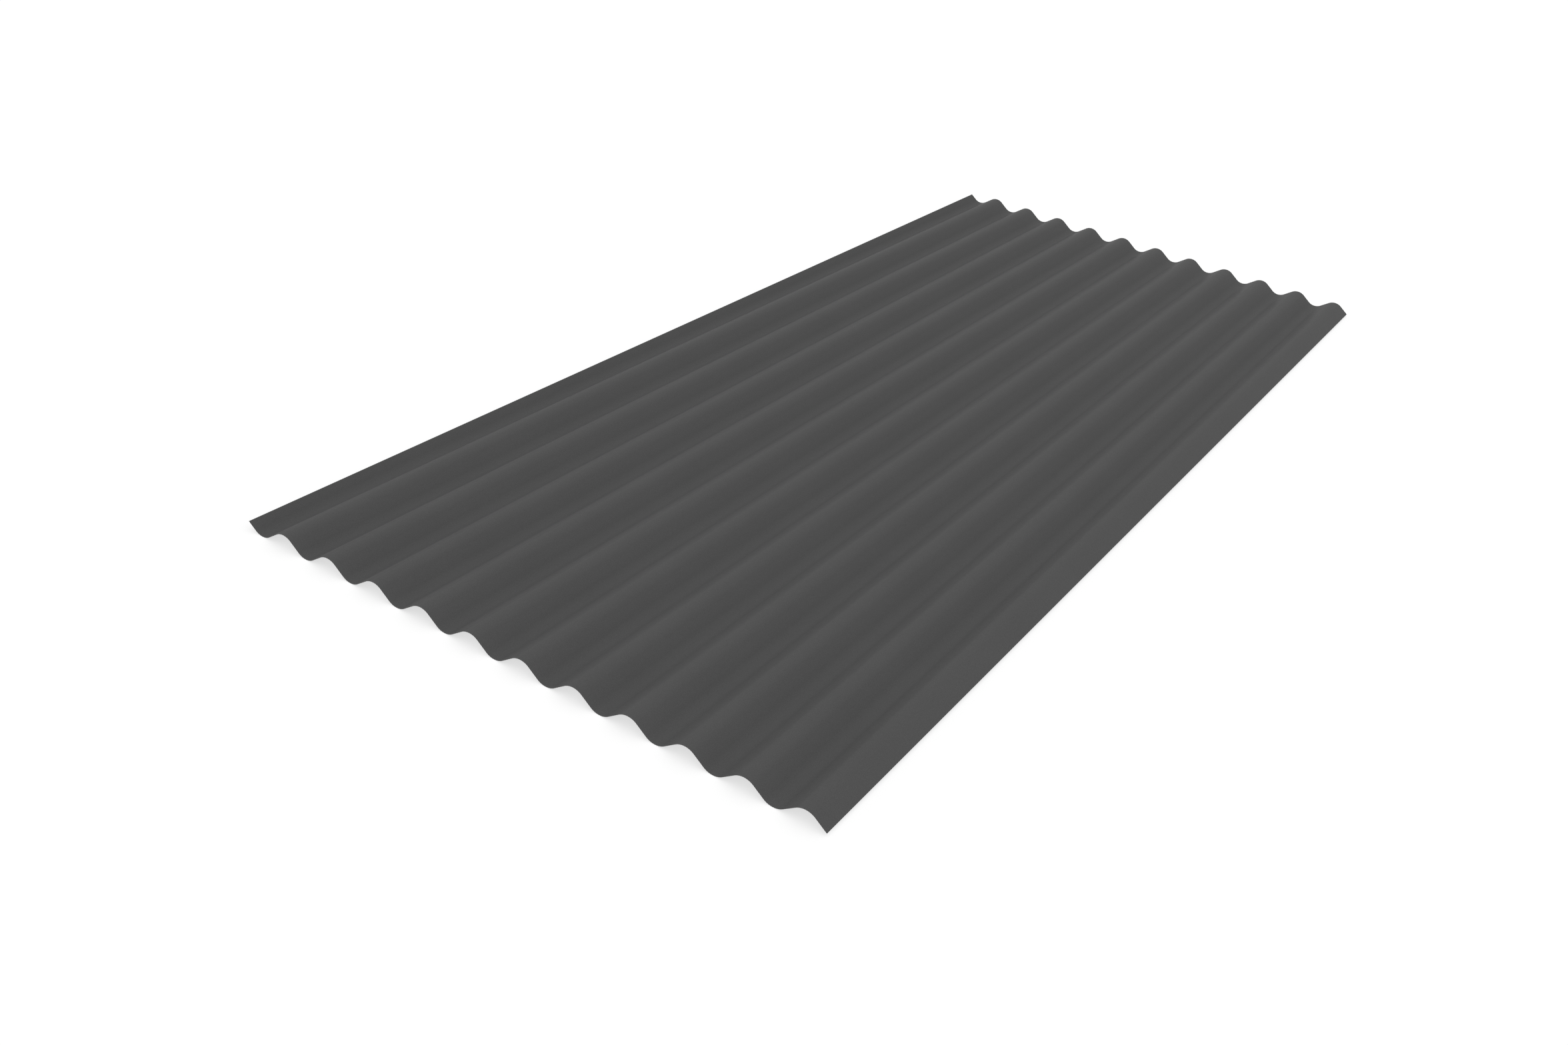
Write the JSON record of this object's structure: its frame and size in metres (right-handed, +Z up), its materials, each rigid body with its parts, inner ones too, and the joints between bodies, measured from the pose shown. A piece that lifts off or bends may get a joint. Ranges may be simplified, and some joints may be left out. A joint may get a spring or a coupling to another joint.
{
  "type": "corrugated metal sheet",
  "caption": "Thin rectangular sheet of dark grey painted steel, roll-formed into even round waves along its length, for roofing, cladding or fencing.",
  "frame": {"origin": "under the middle of the sheet, on the level surface that its valleys rest on", "axes": "+Y along the waves, +X across them towards the side edge that hangs down, +Z up"},
  "size_m": [0.8496, 2, 0.0183],
  "materials": {
    "grey_paint": "matte"
  },
  "bodies": {
    "root": {"corrugated_sheet": "grey_paint"}
  },
  "joints": []
}
